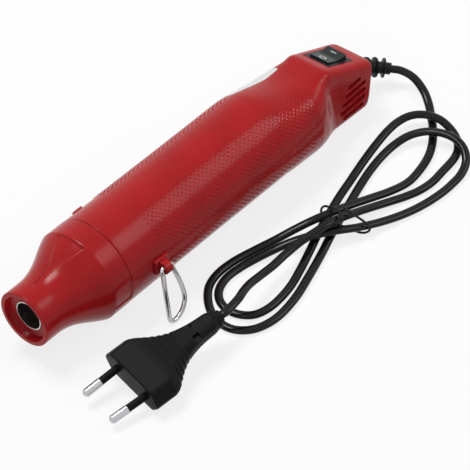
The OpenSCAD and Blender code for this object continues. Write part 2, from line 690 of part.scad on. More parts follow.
// Stations of the plug: [x, half width, half width of its flat faces, half thickness, half height of its edge]
plug_half = plug_w / 2;
plug_stations = [[0, plug_half - 0.5, plug_half - 4.5, plug_t / 2 - 0.5, 0.7],
    [0.6, plug_half, plug_half - 4, plug_t / 2, 1], [10.5, plug_half, plug_half - 4, plug_t / 2, 1],
    [12.5, plug_half - 0.5, plug_half - 5, plug_t / 2 - 0.1, 1], [15, plug_half - 1.9, plug_half - 6.4, plug_t / 2 - 0.4, 1.1],
    [plug_len - 29, plug_half - 4, plug_half - 8.2, plug_t / 2 - 0.8, 1.4],
    [plug_len - 26.5, plug_half - 6, plug_half - 9.7, plug_t / 2 - 1.2, 1.7],
    [plug_len - 23.5, plug_half - 8, plug_half - 11.1, plug_t / 2 - 1.55, 2], [plug_len - 20.5, 8, 5, plug_t / 2 - 1.85, 2.3],
    [plug_len - 17.1, 6.7, 4.3, plug_t / 2 - 2.1, 2.5], [plug_len - 13.7, 5.8, 3.9, plug_t / 2 - 2.3, 2.7],
    [plug_len - 10.3, 5.2, 3.6, plug_t / 2 - 2.45, 2.8], [plug_len - 6.9, 4.9, 3.4, plug_t / 2 - 2.5, 2.8],
    [plug_len, 4.7, 3.2, plug_t / 2 - 2.6, 2.8]];
function plug_ring(s) = [for (p = [[s[1], s[4]], [s[2], s[3]], [-s[2], s[3]], [-s[1], s[4]], [-s[1], -s[4]],
    [-s[2], -s[3]], [s[2], -s[3]], [s[1], -s[4]]]) [s[0], p[0], p[1]]];

// The plug lies rolled on one side of its face, with its neck held up by the cord
function plug_turned(p) = let (
        y = p[1] * cos(plug_roll) + p[2] * sin(plug_roll),
        up = p[2] * cos(plug_roll) - p[1] * sin(plug_roll),
        x = p[0] * cos(plug_pitch) - up * sin(plug_pitch))
    [x * cos(plug_yaw) - y * sin(plug_yaw), x * sin(plug_yaw) + y * cos(plug_yaw),
        p[0] * sin(plug_pitch) + up * cos(plug_pitch)];
plug_yaw = -7.7;
plug_z = floor_z + 0.05 - min([for (s = plug_stations) for (p = plug_ring(s)) plug_turned(p)[2]]);
plug_at = [13.8, -49.8, plug_z];
function plug_point(x) = plug_at + plug_turned([x, 0, 0]);
neck_end = plug_len + 4;
echo(plug_z = plug_z);

// Centre line of the whole cord, from the strain relief's end to the plug's neck
relief_reach = [relief_straight + relief_bend_r * sin(relief_turn), -relief_bend_r * (1 - cos(relief_turn))];
function as_rolled(p) = [p[0], p[1] * cos(roll) + p[2] * sin(roll), p[2] * cos(roll) - p[1] * sin(roll)];
function relief_point(beyond) = let (
        along = relief_reach[0] + beyond * cos(relief_turn),
        out = relief_reach[1] - beyond * sin(relief_turn))
    as_rolled(deck_point(deck_len + along, out, relief_depth));
cord_route = concat([relief_point(0), relief_point(5)], lead_points, hank_points, tail_points,
    [plug_point(neck_end + cord_w), plug_point(neck_end)]);
cord_path = spline(cord_route, 2);
hank_start = 2 * (len(lead_points) + 2);
tail_start = hank_start + 2 * len(hank_points);

// Least gap between two passes of the cord, measured on points of its centre line over 5 widths apart
function flat_gap(a, b) = norm([a[0] - b[0], a[1] - b[1], (a[2] - b[2]) * cord_w / cord_t]) * cord_t / cord_w
    - cord_t;
fine_path = spline(cord_route, 4);
cord_gap = min([for (i = [0:len(fine_path) - 1]) for (j = [i + 14:1:len(fine_path) - 1])
    flat_gap(fine_path[i], fine_path[j])]);
echo(cord_gap = cord_gap);

module cord(start, end, sides) color([0.07, 0.07, 0.07])
    swept(cord_path, cord_w / 2, cord_t / 2, sides, [0, 0, 1], start, end);

module cord_lead() cord(0, hank_start, 8);
module cord_hank() cord(hank_start, tail_start, 6);
module cord_tail() cord(tail_start, len(cord_path) - 1, 8);

/* Wire tie round the five passes, with twisted tails */
tie_points = [[142.2, -57.4, -8.4], [144.8, -53.8, -8.9], [146.9, -50, -10.6], [147.3, -46.6, -12.6],
    [146.9, -43.4, -13.6], [146.7, -41.6, -16.4], [146.8, -41.7, -19.6], [147.3, -44, -21.9], [148.2, -48, -22.1],
    [149.5, -54, -22], [151.2, -61.4, -21.4], [152.3, -65, -18], [151.8, -63.4, -14.4], [150.4, -57.4, -12],
    [149.5, -54, -10.6], [148.2, -53.2, -8.2], [146.4, -57.2, -7.2]];
module cord_tie() color([0.05, 0.05, 0.05])
    swept(spline(tie_points, 2), tie_d / 2, tie_d / 2, 6, [1, 0.2, 0]);

/* Plug */
module on_plug() {
    translate(plug_at)
        rotate([0, -plug_pitch, plug_yaw])
            rotate([-plug_roll, 0, 0])
                children();
}

module plug_body() color([0.09, 0.09, 0.10]) on_plug() {
    difference() {
        lofted([for (s = plug_stations) plug_ring(s)], [[0, 0, 0], [plug_len, 0, 0]]);
        for (i = [0:4], side = [-1, 1])
            translate([15.8 + i * 2.6, -plug_half, side * (plug_t / 2 - 0.4 * (i + 1)) - 0.5])
                cube([1.2, plug_w, 1]);
        for (side = [-1, 1])
            translate([plug_len - 9.8, side < 0 ? -5.4 : 2.4, plug_t / 2 - 4.2])
                cube([3, 3, 2]);
        for (side = [-1, 1])
            translate([0, side * pin_gap / 2, 0])
                rod_x(-1, 0.5, pin_d / 2 + 0.1);
    }
    rod_x(plug_len - 0.5, plug_len + 2, 5.1);
    rod_x(plug_len + 2, neck_end - 0.1, 3.4);
}

core_r = 1.5;
pin_toe = atan((pin_gap - pin_tip_gap) / 2 / pin_len);
module pin_line(side) {
    translate([0.4, side * pin_gap / 2, 0])
        rotate([0, 0, side * pin_toe])
            children();
}

module plug_sleeves() color([0.09, 0.09, 0.10]) on_plug()
    for (side = [-1, 1])
        pin_line(side)
            tube_x(-sleeve_len - 0.4, 0, pin_d / 2 - 0.2, core_r + 0.01);

module plug_pins() color([0.80, 0.80, 0.82]) on_plug()
    for (side = [-1, 1])
        pin_line(side) {
            rod_x(-pin_len - 0.4 + 1, -sleeve_len - 0.4, pin_d / 2);
            rod_x(-sleeve_len - 0.5, 0, core_r);
            translate([-pin_len - 0.4 + 1, 0, 0])
                rotate([0, -90, 0])
                    cylinder(h = 1, r1 = pin_d / 2, r2 = pin_d / 2 - 1);
        }

nozzle_cap();
body();
outlet_tube();
mica_sleeve();
heater_former();
heater_coil();
thermal_cutout();
heater_holder();
fan();
motor_shaft();
motor_mount();
motor_can();
motor_end_cap();
rectifier_board();
rectifier_diodes();
switch_case();
switch_terminals();
rocker();
inner_leads();
cord_clamp();
clamp_screws();
cord_entry();
strain_relief();
stand_wire();
cord_lead();
cord_hank();
cord_tail();
cord_tie();
plug_body();
plug_sleeves();
plug_pins();
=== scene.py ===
import bpy
import bmesh
import math
import numpy as np
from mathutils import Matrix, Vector


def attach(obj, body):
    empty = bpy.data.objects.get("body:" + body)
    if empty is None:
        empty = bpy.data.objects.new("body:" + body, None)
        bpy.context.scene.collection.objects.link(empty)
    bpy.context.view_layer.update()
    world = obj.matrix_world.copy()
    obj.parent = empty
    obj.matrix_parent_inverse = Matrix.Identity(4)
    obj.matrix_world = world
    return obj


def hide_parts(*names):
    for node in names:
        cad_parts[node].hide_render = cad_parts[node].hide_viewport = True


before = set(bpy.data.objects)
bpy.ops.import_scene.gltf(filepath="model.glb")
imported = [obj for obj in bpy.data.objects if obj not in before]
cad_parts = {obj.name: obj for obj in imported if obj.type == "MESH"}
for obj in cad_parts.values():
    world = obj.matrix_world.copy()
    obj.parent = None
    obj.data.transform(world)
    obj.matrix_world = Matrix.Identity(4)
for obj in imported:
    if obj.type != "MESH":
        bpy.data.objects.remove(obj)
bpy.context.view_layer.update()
MM = 0.001

# ---- Camera, floor and light ------------------------------------------------------------------
# A long lens looks down on the tool from its nozzle end, as in a catalogue picture. The floor is
# a matt white sheet. The key light is a soft box high up behind the tool, with a faint one off
# the nozzle and a weak one off the tail, and the surroundings show as white.
AIM = np.array([113.37, -19.93, -22.5]) * MM
AZIMUTH, ELEVATION, DISTANCE = math.radians(-48.0), math.radians(46.9), 2.0
FOCAL_PX, IMAGE_PX = 4510.0, 470.0
SENSOR_MM = 36.0
FLOOR_Z, FLOOR_HALF = -22.7 * MM, 4.0
# How bright the surroundings are as a light, and how much of the floor's own white is shown
SKY_LIGHT, FLOOR_GLOW = 0.22, 0.8
WHITE = (1.0, 1.0, 1.0, 1.0)


def node_tree(owner):
    """An empty shader tree on a material or world, with its output node."""
    owner.use_nodes = True
    tree = owner.node_tree
    tree.nodes.clear()
    kind = "World" if isinstance(owner, bpy.types.World) else "Material"
    return tree, tree.nodes.new("ShaderNodeOutput" + kind)


def seen_directly(tree):
    """1 for rays from the camera, in a mirror or through glass, and 0 for light on the object."""
    path = tree.nodes.new("ShaderNodeLightPath")
    first = tree.nodes.new("ShaderNodeMath")
    first.operation = "MAXIMUM"
    second = tree.nodes.new("ShaderNodeMath")
    second.operation = "MAXIMUM"
    tree.links.new(path.outputs["Is Camera Ray"], first.inputs[0])
    tree.links.new(path.outputs["Is Glossy Ray"], first.inputs[1])
    tree.links.new(first.outputs[0], second.inputs[0])
    tree.links.new(path.outputs["Is Transmission Ray"], second.inputs[1])
    return second.outputs[0]


def soft_box(name, place, size, watts):
    """A square area lamp at a place, in metres, that faces the middle of the object."""
    lamp = bpy.data.lights.new(name, "AREA")
    lamp.shape = "SQUARE"
    lamp.size = size
    lamp.energy = watts
    obj = bpy.data.objects.new(name, lamp)
    bpy.context.collection.objects.link(obj)
    obj.location = place
    facing = AIM - np.array(place)
    obj.rotation_euler = Vector(facing).to_track_quat("-Z", "Y").to_euler()
    return obj


back = np.array([math.sin(AZIMUTH) * math.cos(ELEVATION), -math.cos(AZIMUTH) * math.cos(ELEVATION),
                 math.sin(ELEVATION)])
camera = bpy.data.objects.new("camera", bpy.data.cameras.new("camera"))
bpy.context.collection.objects.link(camera)
camera.location = AIM + DISTANCE * back
camera.rotation_euler = (math.pi / 2 - ELEVATION, 0.0, AZIMUTH)
camera.data.sensor_fit = "HORIZONTAL"
camera.data.sensor_width = SENSOR_MM
camera.data.lens = SENSOR_MM * FOCAL_PX / IMAGE_PX
camera.data.clip_start = 0.05
camera.data.clip_end = 30.0
bpy.context.scene.camera = camera
bpy.context.scene.view_settings.view_transform = "Standard"

world = bpy.data.worlds.new("studio")
bpy.context.scene.world = world
tree, out = node_tree(world)
plain = tree.nodes.new("ShaderNodeBackground")
plain.inputs["Color"].default_value = (0.94, 0.96, 1.0, 1.0)
plain.inputs["Strength"].default_value = SKY_LIGHT
shown = tree.nodes.new("ShaderNodeBackground")
shown.inputs["Color"].default_value = WHITE
shown.inputs["Strength"].default_value = 1.0
mix = tree.nodes.new("ShaderNodeMixShader")
tree.links.new(seen_directly(tree), mix.inputs[0])
tree.links.new(plain.outputs[0], mix.inputs[1])
tree.links.new(shown.outputs[0], mix.inputs[2])
tree.links.new(mix.outputs[0], out.inputs[0])

soft_box("key_light", (0.05, 0.50, 1.25), 0.5, 13.0)
soft_box("left_light", (-0.75, -0.55, 0.65), 0.3, 0.6)
soft_box("tail_light", (0.67, -0.50, 0.79), 0.5, 2.8)

floor = bpy.data.objects.new("floor", bpy.data.meshes.new("floor"))
floor_corners = [(x * FLOOR_HALF, y * FLOOR_HALF, FLOOR_Z)
                 for x, y in ((-1, -1), (1, -1), (1, 1), (-1, 1))]
floor.data.from_pydata(floor_corners, [], [(0, 1, 2, 3)])
bpy.context.collection.objects.link(floor)
sheet_white = bpy.data.materials.new("floor_white")
tree, out = node_tree(sheet_white)
matt = tree.nodes.new("ShaderNodeBsdfDiffuse")
matt.inputs["Color"].default_value = (0.9, 0.9, 0.9, 1.0)
glow = tree.nodes.new("ShaderNodeEmission")
glow.inputs["Color"].default_value = WHITE
share = tree.nodes.new("ShaderNodeMath")
share.operation = "MULTIPLY"
share.inputs[1].default_value = FLOOR_GLOW
mix = tree.nodes.new("ShaderNodeMixShader")
tree.links.new(seen_directly(tree), share.inputs[0])
tree.links.new(share.outputs[0], mix.inputs[0])
tree.links.new(matt.outputs[0], mix.inputs[1])
tree.links.new(glow.outputs[0], mix.inputs[2])
tree.links.new(mix.outputs[0], out.inputs[0])
floor.data.materials.append(sheet_white)

# ---- Mains cord -------------------------------------------------------------------------------
# Flat twin flex, two cores side by side in one glossy black PVC jacket. It leaves the strain
# relief, is folded into a tied figure of eight beside the tool, and ends in the plug's neck.
CORD_W, CORD_T = 4.0 * MM, 3.2 * MM
# Height of the centre line, in mm, where the cord lies on the floor
low = (FLOOR_Z + CORD_T / 2 + 0.1 * MM) / MM
ROUTE = np.array([
    [231.594, -9.067, -13.178], [234.542, -13.038, -13.914], [236.4, -18.8, -15.9],
    [235.2, -25.8, -18.5], [231.7, -32, -20.4], [227, -37.4, low], [222, -42.7, low],
    [215, -48.5, low], [207, -53, low], [197.5, -55.8, low], [188, -56.8, low],
    [177.7, -55.4, -19.6], [166.9, -52.6, -17.8], [156.8, -49.8, -16.2], [147.2, -47, -15.4],
    [138.2, -43.6, -16], [130, -40, -18], [120.9, -36.6, -20], [111, -33.4, low],
    [100.5, -31.2, low], [90.5, -30.8, low], [82, -33, low], [75.4, -38.2, low], [70.8, -44.8, low],
    [69, -52, low], [70.8, -59.2, low], [77.2, -65, low], [88, -67.4, low], [101.5, -65.8, low],
    [115, -61.8, low], [128.5, -57.2, low], [139.4, -53.4, -20], [149.6, -50, -19.5],
    [159.9, -46.6, -20], [170.5, -42.8, low], [181, -39.8, low], [190.8, -38.1, -20.5],
    [200, -37.9, -19.6], [208, -39.8, -18.2], [214.2, -44.2, -17], [217.9, -50.2, -16.3],
    [219.6, -56.8, -16.4], [218.7, -63.2, -17.5], [214.8, -68.4, -19.4], [208.4, -71.2, -20.8],
    [200.6, -72.2, low], [192, -72.2, low], [181.5, -70.8, low], [170.8, -68.2, -20.5],
    [159.9, -64.6, -19.2], [149.6, -60.4, -17.4], [140.5, -55.4, -15.9], [132, -50, -15.9],
    [124.2, -44.8, -17.4], [116.5, -40.8, -19.3], [108.3, -37.8, -20.5], [99.5, -35.8, low],
    [91, -35.4, low], [83.7, -37.5, low], [78.8, -42, low], [77, -48.3, low], [78.7, -54.7, low],
    [83.6, -59.5, low], [92.5, -61.2, low], [104.5, -59.8, low], [116, -56.2, low],
    [127.6, -51.9, -20.4], [138.2, -47.9, -19.6], [149.1, -44.2, -19.5], [160.7, -40.2, -20.3],
    [172, -36.9, low], [183.7, -34, -20.4], [194.7, -31.8, -19.6], [204.2, -30.8, -18.2],
    [211.6, -31.2, -17.2], [217.8, -33.4, -16.6], [222.4, -37.8, -16.6], [224.9, -43.8, -17.2],
    [225.2, -49.4, -18.8], [223.6, -55, -20.2], [219.6, -59.7, -20.9], [213.4, -62.6, low],
    [203.2, -64, low], [195.6, -64.8, low], [188, -64, low], [181, -61.8, low], [173.4, -59, -20.4],
    [165, -56.6, -18.8], [156, -54.8, -16.4], [147, -53.7, -13.6], [139.2, -52.8, -11.6],
    [131.8, -51.6, -12.1], [123.5, -49.8, -13.4], [114.5, -49.2, -14.4], [105, -49.9, -14.1],
    [96, -50.6, -12.6], [87.8, -51.7, -10.6], [81.6, -53.7, -8.5], [75.2, -56, -7.1],
    [67.42, -57.05, -7.029], [63.492, -56.519, -7.564]]) * MM


def smooth_route(points, steps):
    """Catmull-Rom curve: between two points, half the sum of the four neighbours' cubic weights."""
    padded = np.vstack([2 * points[0] - points[1], points, 2 * points[-1] - points[-2]])
    p, q, r, s = padded[:-3, None], padded[1:-2, None], padded[2:-1, None], padded[3:, None]
    t = (np.arange(steps) / steps)[None, :, None]
    curve = 0.5 * (2 * q + (r - p) * t + (2 * p - 5 * q + 4 * r - s) * t ** 2
                   + (3 * q - p - 3 * r + s) * t ** 3)
    return np.vstack([curve.reshape(-1, 3), points[-1]])


def carried(path, across, upward, up=(0.0, 0.0, 1.0)):
    """Rings along a path: the outline (across, upward) is laid square to the path's tangent."""
    tangent = np.gradient(path, axis=0)
    tangent /= np.linalg.norm(tangent, axis=1)[:, None]
    side = np.cross(np.array(up), tangent)
    side /= np.linalg.norm(side, axis=1)[:, None]
    lift = np.cross(tangent, side)
    return path[:, None] + across[..., None] * side[:, None] + upward[..., None] * lift[:, None]


def surface(name, rings, material, body="housing", closed=False, crease=40.0):
    """A mesh on a grid of rings that each close on themselves, shaded smooth up to the crease angle
    in degrees, with its body."""
    rows, columns = rings.shape[:2]
    row = np.arange(rows if closed else rows - 1)[:, None]
    column = np.arange(columns)[None, :]
    beyond, following = (row + 1) % rows, (column + 1) % columns
    quads = np.stack([row * columns + column, row * columns + following,
                      beyond * columns + following, beyond * columns + column], axis=-1)
    faces = quads.reshape(-1, 4).tolist()
    if not closed:
        faces.append(list(range(columns))[::-1])
        faces.append(list(range((rows - 1) * columns, rows * columns)))
    mesh = bpy.data.meshes.new(name)
    mesh.from_pydata(rings.reshape(-1, 3).tolist(), [], faces)
    mesh.polygons.foreach_set("use_smooth", [True] * len(mesh.polygons))
    mesh.set_sharp_from_angle(angle=math.radians(crease))
    mesh.materials.append(material)
    obj = bpy.data.objects.new(name, mesh)
    bpy.context.collection.objects.link(obj)
    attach(obj, body)
    return obj


def moulded(name, colour, rough, grain=1.6, relief=0.02, tint=0.12, gloss=0.5, metal=0.0,
            uneven=0.08):
    """A finish on Object coordinates: the colour drifts by tint over centimetres, the roughness by
    uneven over the grain, in mm, and a fine bump of relief, in mm, lies over both."""
    material = bpy.data.materials.new(name)
    tree, out = node_tree(material)
    shader = tree.nodes.new("ShaderNodeBsdfPrincipled")
    shader.inputs["Metallic"].default_value = metal
    shader.inputs["Specular IOR Level"].default_value = gloss
    place = tree.nodes.new("ShaderNodeTexCoord")
    drift = tree.nodes.new("ShaderNodeTexNoise")
    drift.inputs["Scale"].default_value = 60.0
    drift.inputs["Detail"].default_value = 4.0
    ramp = tree.nodes.new("ShaderNodeValToRGB")
    ramp.color_ramp.elements[0].position = 0.3
    ramp.color_ramp.elements[1].position = 0.7
    ramp.color_ramp.elements[0].color = (*[c * (1 - tint) for c in colour], 1.0)
    ramp.color_ramp.elements[1].color = (*[min(1.0, c * (1 + tint)) for c in colour], 1.0)
    fine = tree.nodes.new("ShaderNodeTexNoise")
    fine.inputs["Scale"].default_value = 1000.0 / grain
    fine.inputs["Detail"].default_value = 3.0
    spread = tree.nodes.new("ShaderNodeMapRange")
    spread.inputs["To Min"].default_value = max(0.0, rough - uneven)
    spread.inputs["To Max"].default_value = min(1.0, rough + uneven)
    bump = tree.nodes.new("ShaderNodeBump")
    bump.inputs["Strength"].default_value = 1.0
    bump.inputs["Distance"].default_value = relief * MM
    tree.links.new(place.outputs["Object"], drift.inputs["Vector"])
    tree.links.new(place.outputs["Object"], fine.inputs["Vector"])
    tree.links.new(drift.outputs["Fac"], ramp.inputs[0])
    tree.links.new(ramp.outputs["Color"], shader.inputs["Base Color"])
    tree.links.new(fine.outputs["Fac"], spread.inputs["Value"])
    tree.links.new(spread.outputs["Result"], shader.inputs["Roughness"])
    tree.links.new(fine.outputs["Fac"], bump.inputs["Height"])
    tree.links.new(bump.outputs["Normal"], shader.inputs["Normal"])
    tree.links.new(shader.outputs[0], out.inputs[0])
    return material


def turn(count):
    """Angles once round, in radians."""
    return np.arange(count) * 2 * math.pi / count


pvc = moulded("cord_pvc_gloss", (0.008, 0.008, 0.009), 0.16, grain=3.0, relief=0.015, gloss=0.18)
cord_path = smooth_route(ROUTE, 10)
round_the_cord = turn(24)
# Two cores side by side leave a faint waist along the flats
waist = 1 - 0.05 * np.abs(np.sin(round_the_cord)) ** 6
flat = np.abs(np.cos(round_the_cord)) ** 0.9 * np.sign(np.cos(round_the_cord))
cord_rings = carried(cord_path, CORD_W / 2 * flat[None],
                     CORD_T / 2 * (np.sin(round_the_cord) * waist)[None])
mains_cord = surface("mains_cord", cord_rings, pvc, crease=60)
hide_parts("cord_lead", "cord_hank", "cord_tail")

# ---- Plug -------------------------------------------------------------------------------------
# Flat two-pin plug moulded on the cord: a wide six-sided body that narrows to a ribbed neck with a
# round knob at its end. Each pin is plated steel with a black sleeve next to the face.
PLUG_AT = np.array([13.8, -49.8, -14.344]) * MM
PLUG_ROLL, PLUG_PITCH, PLUG_YAW = math.radians(-7), math.radians(7.7), math.radians(-7.7)
GROOVE_FROM, GROOVE_PITCH, GROOVE_WIDTH, GROOVES = 15.7, 2.6, 1.5, 5
WINDOW_FROM, WINDOW_TO, WINDOW_INNER, WINDOW_FLOOR = 32.6, 36, 1.9, 2.9


def eased(x, places, values):
    """Values at places joined by cubic pieces without overshoot: an inner slope is the harmonic
    mean of the slopes beside it, or 0 where those differ in sign."""
    places, values = np.asarray(places, float), np.asarray(values, float)
    gaps, rise = np.diff(places), np.diff(values)
    slope = rise / gaps
    total = slope[1:] + slope[:-1]
    inner = np.where(slope[1:] * slope[:-1] > 0,
                     2 * slope[1:] * slope[:-1] / np.where(total == 0, 1, total), 0.0)
    tangent = np.concatenate([[slope[0]], inner, [slope[-1]]])
    i = np.clip(np.searchsorted(places, x) - 1, 0, len(gaps) - 1)
    t = np.clip((x - places[i]) / gaps[i], 0, 1)
    return (values[i] * (1 + 2 * t) * (1 - t) ** 2 + values[i + 1] * t * t * (3 - 2 * t)
            + gaps[i] * (tangent[i] * t * (1 - t) ** 2 - tangent[i + 1] * t * t * (1 - t)))


def squarish(angle, half_w, half_h, power):
    """A rounded-square outline: radius = ((|cos|/w)^n + (|sin|/h)^n)^(-1/n)."""
    c, s = np.cos(angle), np.sin(angle)
    radius = ((np.abs(c) / half_w) ** power + (np.abs(s) / half_h) ** power) ** (-1 / power)
    return radius * c, radius * s


def as_plug_lies(points):
    """From the plug's own frame to where it lies: rolled, its neck raised, and turned."""
    c, s = math.cos(PLUG_ROLL), math.sin(PLUG_ROLL)
    x, y, z = points[..., 0], points[..., 1], points[..., 2]
    y, z = c * y + s * z, c * z - s * y
    c, s = math.cos(PLUG_PITCH), math.sin(PLUG_PITCH)
    x, z = c * x - s * z, s * x + c * z
    c, s = math.cos(PLUG_YAW), math.sin(PLUG_YAW)
    return np.stack([c * x - s * y, s * x + c * y, z], axis=-1) + PLUG_AT


def six_sided(angle, half_w, flat_w, half_t, edge, power):
    """A flat six-sided outline with softened corners: the radius at an angle is the power mean of
    the reach to the two flats, to the two narrow edges and to the four slopes between them."""
    c, s = np.abs(np.cos(angle)), np.abs(np.sin(angle))
    run, rise = half_w - flat_w, half_t - edge
    slope = (c / run + s / rise) / (1 + flat_w / run + edge / rise)
    radius = ((c / half_w) ** power + (s / half_t) ** power + slope ** power) ** (-1 / power)
    return radius * np.cos(angle), radius * np.sin(angle)


# [x, half width, half width of the flats, half thickness, half height of the edge, corner power]
PLUG_STATIONS = np.array([
    [0, 16.9, 13, 6.2, 0.7, 40], [0.25, 17.35, 13.5, 6.6, 0.9, 40],
    [0.7, 17.62, 13.65, 6.84, 1, 40], [10.5, 17.63, 13.65, 6.84, 1, 40],
    [12.5, 17.13, 12.65, 6.74, 1, 36], [15, 15.73, 11.25, 6.44, 1.1, 32],
    [17.6, 13.63, 9.45, 6.04, 1.4, 28], [20.1, 11.63, 7.95, 5.64, 1.7, 24],
    [23.1, 9.63, 6.55, 5.29, 2, 22], [26.1, 7.98, 5, 4.99, 2.3, 20],
    [29.5, 6.68, 4.3, 4.74, 2.5, 18], [32.9, 5.78, 3.9, 4.54, 2.7, 16],
    [36.3, 5.18, 3.6, 4.39, 2.8, 14], [39.7, 4.88, 3.4, 4.34, 2.8, 12],
    [44, 4.75, 3.2, 4.3, 2.8, 9], [45.6, 4.6, 3.2, 4.3, 2.8, 6], [46.3, 4.95, 2.6, 4.95, 2.6, 3.4],
    [48, 4.95, 2.6, 4.95, 2.6, 3.4], [48.6, 4.4, 2.3, 4.4, 2.3, 3.4],
    [48.75, 3.4, 1.8, 3.4, 1.8, 3.4], [50.4, 3.2, 1.8, 3.2, 1.8, 3.4]])
station = np.unique(np.concatenate([np.linspace(0, 0.7, 8), np.arange(0.9, 45, 0.22),
                                    np.arange(45, 50.5, 0.1), [50.4]]))
sizes = [eased(station, PLUG_STATIONS[:, 0], PLUG_STATIONS[:, i])[:, None] for i in range(1, 6)]
around = turn(160)
y, z = six_sided(around[None], *sizes)
# The grooves run across the start of the neck, each a widened half sine
groove = np.zeros_like(station)
for start in GROOVE_FROM + GROOVE_PITCH * np.arange(GROOVES):
    groove += np.sin(math.pi * np.clip((station - start) / GROOVE_WIDTH, 0, 1)).clip(0) ** 0.7
z *= (1 - 0.075 * groove)[:, None]
y *= (1 - 0.03 * groove)[:, None]
# Two windows with a level floor lie side by side in the neck's upper face
in_window = ((station > WINDOW_FROM) & (station < WINDOW_TO))[:, None]
for side in (-1, 1):
    window = in_window & (side * y > WINDOW_INNER) & (z > 0)
    z = np.where(window, np.minimum(z, WINDOW_FLOOR), z)
plug_points = np.stack([np.broadcast_to(station[:, None], y.shape), y, z], axis=-1)
plug_rings = as_plug_lies(plug_points * MM)
black_matt = moulded("plug_black", (0.008, 0.008, 0.009), 0.44, grain=0.7, relief=0.03, gloss=0.06,
                     uneven=0.06)
plug = surface("plug", plug_rings, black_matt, crease=28)
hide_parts("plug_body")
plated = moulded("pin_plated", (0.50, 0.50, 0.52), 0.2, grain=2.0, relief=0.004, metal=1.0,
                 tint=0.05)


def dress(node, material):
    """A CAD node whose shape is right keeps its mesh and gets a finish."""
    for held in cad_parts[node].material_slots:
        held.material = material


dress("plug_pins", plated)
dress("plug_sleeves", black_matt)

# ---- Wire tie ---------------------------------------------------------------------------------
# A short plastic-coated wire wound once round the five passes of the cord, its ends twisted.
TIE_R = 0.55 * MM
TIE = np.array([[142.2, -57.4, -8.4], [144.8, -53.8, -8.9], [146.9, -50, -10.6],
                [147.3, -46.6, -12.6], [146.9, -43.4, -13.6], [146.7, -41.6, -16.4],
                [146.8, -41.7, -19.6], [147.3, -44, -21.9], [148.2, -48, -22.1], [149.5, -54, -22],
                [151.2, -61.4, -21.4], [152.3, -65, -18], [151.8, -63.4, -14.4],
                [150.4, -57.4, -12], [149.5, -54, -10.6], [148.2, -53.2, -8.2],
                [146.4, -57.2, -7.2]]) * MM
tie_path = smooth_route(TIE, 10)
around = turn(12)
tie_rings = carried(tie_path, TIE_R * np.cos(around)[None], TIE_R * np.sin(around)[None],
                    up=(1.0, 0.2, 0.0))
tie_black = moulded("tie_coating", (0.012, 0.012, 0.012), 0.35, grain=1.0, relief=0.03, gloss=0.15)
tie = surface("wire_tie", tie_rings, tie_black, crease=60)
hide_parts("cord_tie")

# ---- Strain relief ----------------------------------------------------------------------------
# A ribbed rubber sleeve moulded round the cord, snapped into the tail's rear wall. It leaves
# square to the wall and bends sideways with the cord.
ROLL, SLOPE = math.radians(8), math.radians(23.5)
DECK_AT, DECK_LEN, RELIEF_DEPTH = (186.5, 16.2), 32.2, 10.0


def rolled(points):
    """The tool lies rolled about its length, so the deck leans away from the stand."""
    c, s = math.cos(ROLL), math.sin(ROLL)
    return np.stack([points[..., 0], c * points[..., 1] + s * points[..., 2],
                     c * points[..., 2] - s * points[..., 1]], axis=-1)


def on_deck(along, across, depth):
    """A point of the deck's own frame, in mm: along the slope, across it, and down from it."""
    c, s = math.cos(SLOPE), math.sin(SLOPE)
    along, across, depth = np.broadcast_arrays(along, across, depth)
    return rolled(np.stack([DECK_AT[0] + along * c - depth * s, across,
                            DECK_AT[1] - along * s - depth * c], axis=-1)) * MM


BEND_R, BEND, BEND_FROM, RELIEF_END = 20.0, math.radians(50), 6.0, 23.45
RIBS_AT, RIB_R, RIB_HALF, RIB_FALL = [7.4, 11.6, 15.8, 20.0], 4.95, 0.5, 0.1
travel = np.concatenate([[0.05, 0.1, 0.5, 1.1, 1.3, 1.35], np.arange(1.6, 23.4, 0.12),
                         [RELIEF_END]])
straight = np.minimum(travel, BEND_FROM)
bent = np.clip((travel - BEND_FROM) / BEND_R, 0, BEND)
along = DECK_LEN + straight + BEND_R * np.sin(bent)
aside = -BEND_R * (1 - np.cos(bent))
core = eased(travel, [0, 1.3, 1.6, BEND_FROM, RELIEF_END], [5.0, 5.0, 3.2, 3.0, 2.75])
rib = np.zeros_like(travel)
for i, at in enumerate(RIBS_AT):
    edge = 1 + np.exp((np.abs(travel - at) - RIB_HALF) / 0.05)
    rib = np.maximum(rib, (RIB_R - RIB_FALL * i - core) / edge)
radius = core + rib
around = turn(48)
heading = np.stack([np.cos(bent), -np.sin(bent)], axis=-1)
wide = radius[:, None] * np.cos(around)[None]
relief_rings = on_deck(along[:, None] - heading[:, 1:2] * wide,
                       aside[:, None] + heading[:, 0:1] * wide,
                       RELIEF_DEPTH - radius[:, None] * np.sin(around)[None])
rubber = moulded("relief_rubber", (0.012, 0.012, 0.013), 0.38, grain=0.8, relief=0.03, gloss=0.12)
relief = surface("ribbed_relief", relief_rings, rubber, crease=50)
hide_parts("strain_relief")

# ---- Body -------------------------------------------------------------------------------------
# One moulding of glossy red ABS: a round barrel that necks in behind the grip to a square tail
# with a sloping switch deck, five cooling slots on each side and an eye for the stand.
GLOSS_RED = (0.38, 0.010, 0.012)
WALL, FRONT, FRONT_R = 2.2, 44.7, 22.5
SIDE_LEAN, LEAN_FROM, LEAN_RUN = 0.17, 172, 12


def deck_height(x):
    """Height of the deck above the axis at x, in mm: it falls by the tangent of its slope."""
    return DECK_AT[1] - (x - DECK_AT[0]) * math.tan(SLOPE)


